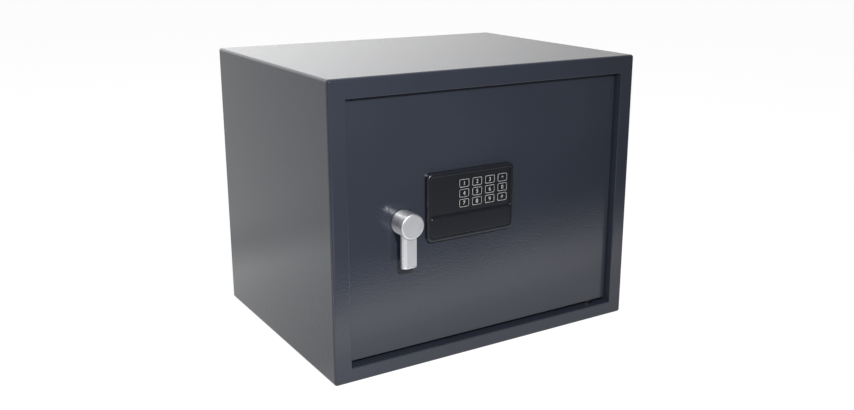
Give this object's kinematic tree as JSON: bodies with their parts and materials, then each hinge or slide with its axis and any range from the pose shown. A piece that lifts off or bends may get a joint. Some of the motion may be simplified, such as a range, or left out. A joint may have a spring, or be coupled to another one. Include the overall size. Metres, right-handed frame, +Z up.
{
  "type": "electronic safe",
  "caption": "Box-shaped steel home safe with an inset hinged door, lever handle, round bolts and a keypad with a cover strip over its emergency lock.",
  "frame": {"origin": "middle of the cabinet's base, on the surface that it stands on", "axes": "+X to the right seen from the front, +Y to the back, +Z up"},
  "size_m": [0.38, 0.3035, 0.31],
  "materials": {
    "body_paint": "semi-gloss dark blue-grey powder coat, fine orange peel",
    "liner_paint": "satin dark grey paint",
    "floor_felt": "short-pile needle felt",
    "handle_metal": "satin, bright bevel",
    "steel_bolt": "turned, bright",
    "zinc_steel": "zinc plated",
    "black_steel": "phosphated and oiled",
    "screw_steel": "zinc plated",
    "lock_chrome": "satin nickel",
    "keypad_plastic": "moulded black, low sheen",
    "panel_film": "fine-textured black film",
    "key_plastic": "moulded black, printed white outline and digit",
    "circuit": "green solder resist",
    "copper_coil": "enamelled copper winding under tape",
    "cell_sleeve": "plain sleeve, no label",
    "wire_sleeve": "vinyl sleeve",
    "button_red": "moulded red"
  },
  "bodies": {
    "cabinet": {"body_shell": "body_paint", "back_panel": "body_paint", "floor_mat": "floor_felt", "strike_plate": "body_paint", "door_stop_strip": "body_paint", "hinge_bracket_upper": "zinc_steel", "hinge_bracket_lower": "zinc_steel", "hinge_washer": "black_steel"},
    "door": {"door_plate": "body_paint", "hinge_block_upper": "body_paint", "hinge_block_lower": "body_paint", "hinge_pin_upper": "black_steel", "hinge_pin_lower": "black_steel", "bolt_guide_upper": "zinc_steel", "bolt_guide_lower": "zinc_steel", "guide_posts": "zinc_steel", "door_liner": "liner_paint", "liner_screws": "screw_steel", "handle_washer": "keypad_plastic", "spindle_bush": "zinc_steel", "keypad_housing": "keypad_plastic", "keypad_panel": "panel_film", "keypad_board": "circuit", "housing_screws": "screw_steel", "keypad_cable": "wire_sleeve", "lock_body": "lock_chrome", "lock_nut": "zinc_steel", "solenoid_frame": "zinc_steel", "solenoid_coil": "copper_coil", "plunger_spring": "zinc_steel", "control_board": "circuit", "solenoid_lead": "wire_sleeve", "battery_case": "keypad_plastic", "battery_cells": "cell_sleeve", "battery_lead": "wire_sleeve"},
    "handle": {"handle_hub": "handle_metal", "handle_lever": "handle_metal", "handle_spindle": "zinc_steel", "handle_cam": "zinc_steel", "cam_screw": "screw_steel"},
    "bolt_carriage": {"bolt_bar": "zinc_steel", "locking_bolts": "steel_bolt"},
    "plunger": {"solenoid_plunger": "zinc_steel"},
    "lock_core": {"lock_plug": "lock_chrome", "lock_cam": "zinc_steel"},
    "strip_cover": {"override_cover": "keypad_plastic"},
    "cell_lid": {"battery_cover": "keypad_plastic"},
    "reset": {"reset_button": "button_red"},
    "key_1_cap": {"key_1": "key_plastic"},
    "key_2_cap": {"key_2": "key_plastic"},
    "key_3_cap": {"key_3": "key_plastic"},
    "key_star_cap": {"key_star": "key_plastic"},
    "key_4_cap": {"key_4": "key_plastic"},
    "key_5_cap": {"key_5": "key_plastic"},
    "key_6_cap": {"key_6": "key_plastic"},
    "key_0_cap": {"key_0": "key_plastic"},
    "key_7_cap": {"key_7": "key_plastic"},
    "key_8_cap": {"key_8": "key_plastic"},
    "key_9_cap": {"key_9": "key_plastic"},
    "key_hash_cap": {"key_hash": "key_plastic"}
  },
  "joints": [
    {"name": "door_swing", "type": "hinge", "parent": "cabinet", "child": "door", "pos_m": [0.15, -0.128, 0.02], "axis": [0, 0, 1], "range_deg": [0, 110]},
    {"name": "handle_turn", "type": "hinge", "parent": "door", "child": "handle", "pos_m": [-0.1069, -0.1365, 0.1588], "axis": [0, 1, 0], "range_deg": [0, 90]},
    {"name": "bolt_slide", "type": "slide", "parent": "door", "child": "bolt_carriage", "axis": [-1, 0, 0], "range_m": [0, 0.02]},
    {"name": "plunger_lift", "type": "slide", "parent": "door", "child": "plunger", "axis": [0, 0, 1], "range_m": [0, 0.008], "deforming": ["plunger_spring"]},
    {"name": "lock_turn", "type": "hinge", "parent": "door", "child": "lock_core", "pos_m": [-0.0258, -0.1365, 0.14705], "axis": [0, 1, 0], "range_deg": [0, 90]},
    {"name": "strip_cover_pull", "type": "slide", "parent": "door", "child": "strip_cover", "axis": [0, -1, 0], "range_m": [0, 0.012]},
    {"name": "cell_lid_pull", "type": "slide", "parent": "door", "child": "cell_lid", "axis": [0, 1, 0], "range_m": [0, 0.015]},
    {"name": "reset_press", "type": "slide", "parent": "door", "child": "reset", "axis": [0, -1, 0], "range_m": [0, 0.001], "stiffness_N_per_m": 300},
    {"name": "key_1_press", "type": "slide", "parent": "door", "child": "key_1_cap", "axis": [0, 1, 0], "range_m": [0, 0.0007], "stiffness_N_per_m": 400},
    {"name": "key_2_press", "type": "slide", "parent": "door", "child": "key_2_cap", "axis": [0, 1, 0], "range_m": [0, 0.0007], "stiffness_N_per_m": 400},
    {"name": "key_3_press", "type": "slide", "parent": "door", "child": "key_3_cap", "axis": [0, 1, 0], "range_m": [0, 0.0007], "stiffness_N_per_m": 400},
    {"name": "key_star_press", "type": "slide", "parent": "door", "child": "key_star_cap", "axis": [0, 1, 0], "range_m": [0, 0.0007], "stiffness_N_per_m": 400},
    {"name": "key_4_press", "type": "slide", "parent": "door", "child": "key_4_cap", "axis": [0, 1, 0], "range_m": [0, 0.0007], "stiffness_N_per_m": 400},
    {"name": "key_5_press", "type": "slide", "parent": "door", "child": "key_5_cap", "axis": [0, 1, 0], "range_m": [0, 0.0007], "stiffness_N_per_m": 400},
    {"name": "key_6_press", "type": "slide", "parent": "door", "child": "key_6_cap", "axis": [0, 1, 0], "range_m": [0, 0.0007], "stiffness_N_per_m": 400},
    {"name": "key_0_press", "type": "slide", "parent": "door", "child": "key_0_cap", "axis": [0, 1, 0], "range_m": [0, 0.0007], "stiffness_N_per_m": 400},
    {"name": "key_7_press", "type": "slide", "parent": "door", "child": "key_7_cap", "axis": [0, 1, 0], "range_m": [0, 0.0007], "stiffness_N_per_m": 400},
    {"name": "key_8_press", "type": "slide", "parent": "door", "child": "key_8_cap", "axis": [0, 1, 0], "range_m": [0, 0.0007], "stiffness_N_per_m": 400},
    {"name": "key_9_press", "type": "slide", "parent": "door", "child": "key_9_cap", "axis": [0, 1, 0], "range_m": [0, 0.0007], "stiffness_N_per_m": 400},
    {"name": "key_hash_press", "type": "slide", "parent": "door", "child": "key_hash_cap", "axis": [0, 1, 0], "range_m": [0, 0.0007], "stiffness_N_per_m": 400}
  ],
  "couplings": [
    {"joint": "handle_turn", "follows": "bolt_slide", "rad_per_m": 78.54}
  ]
}
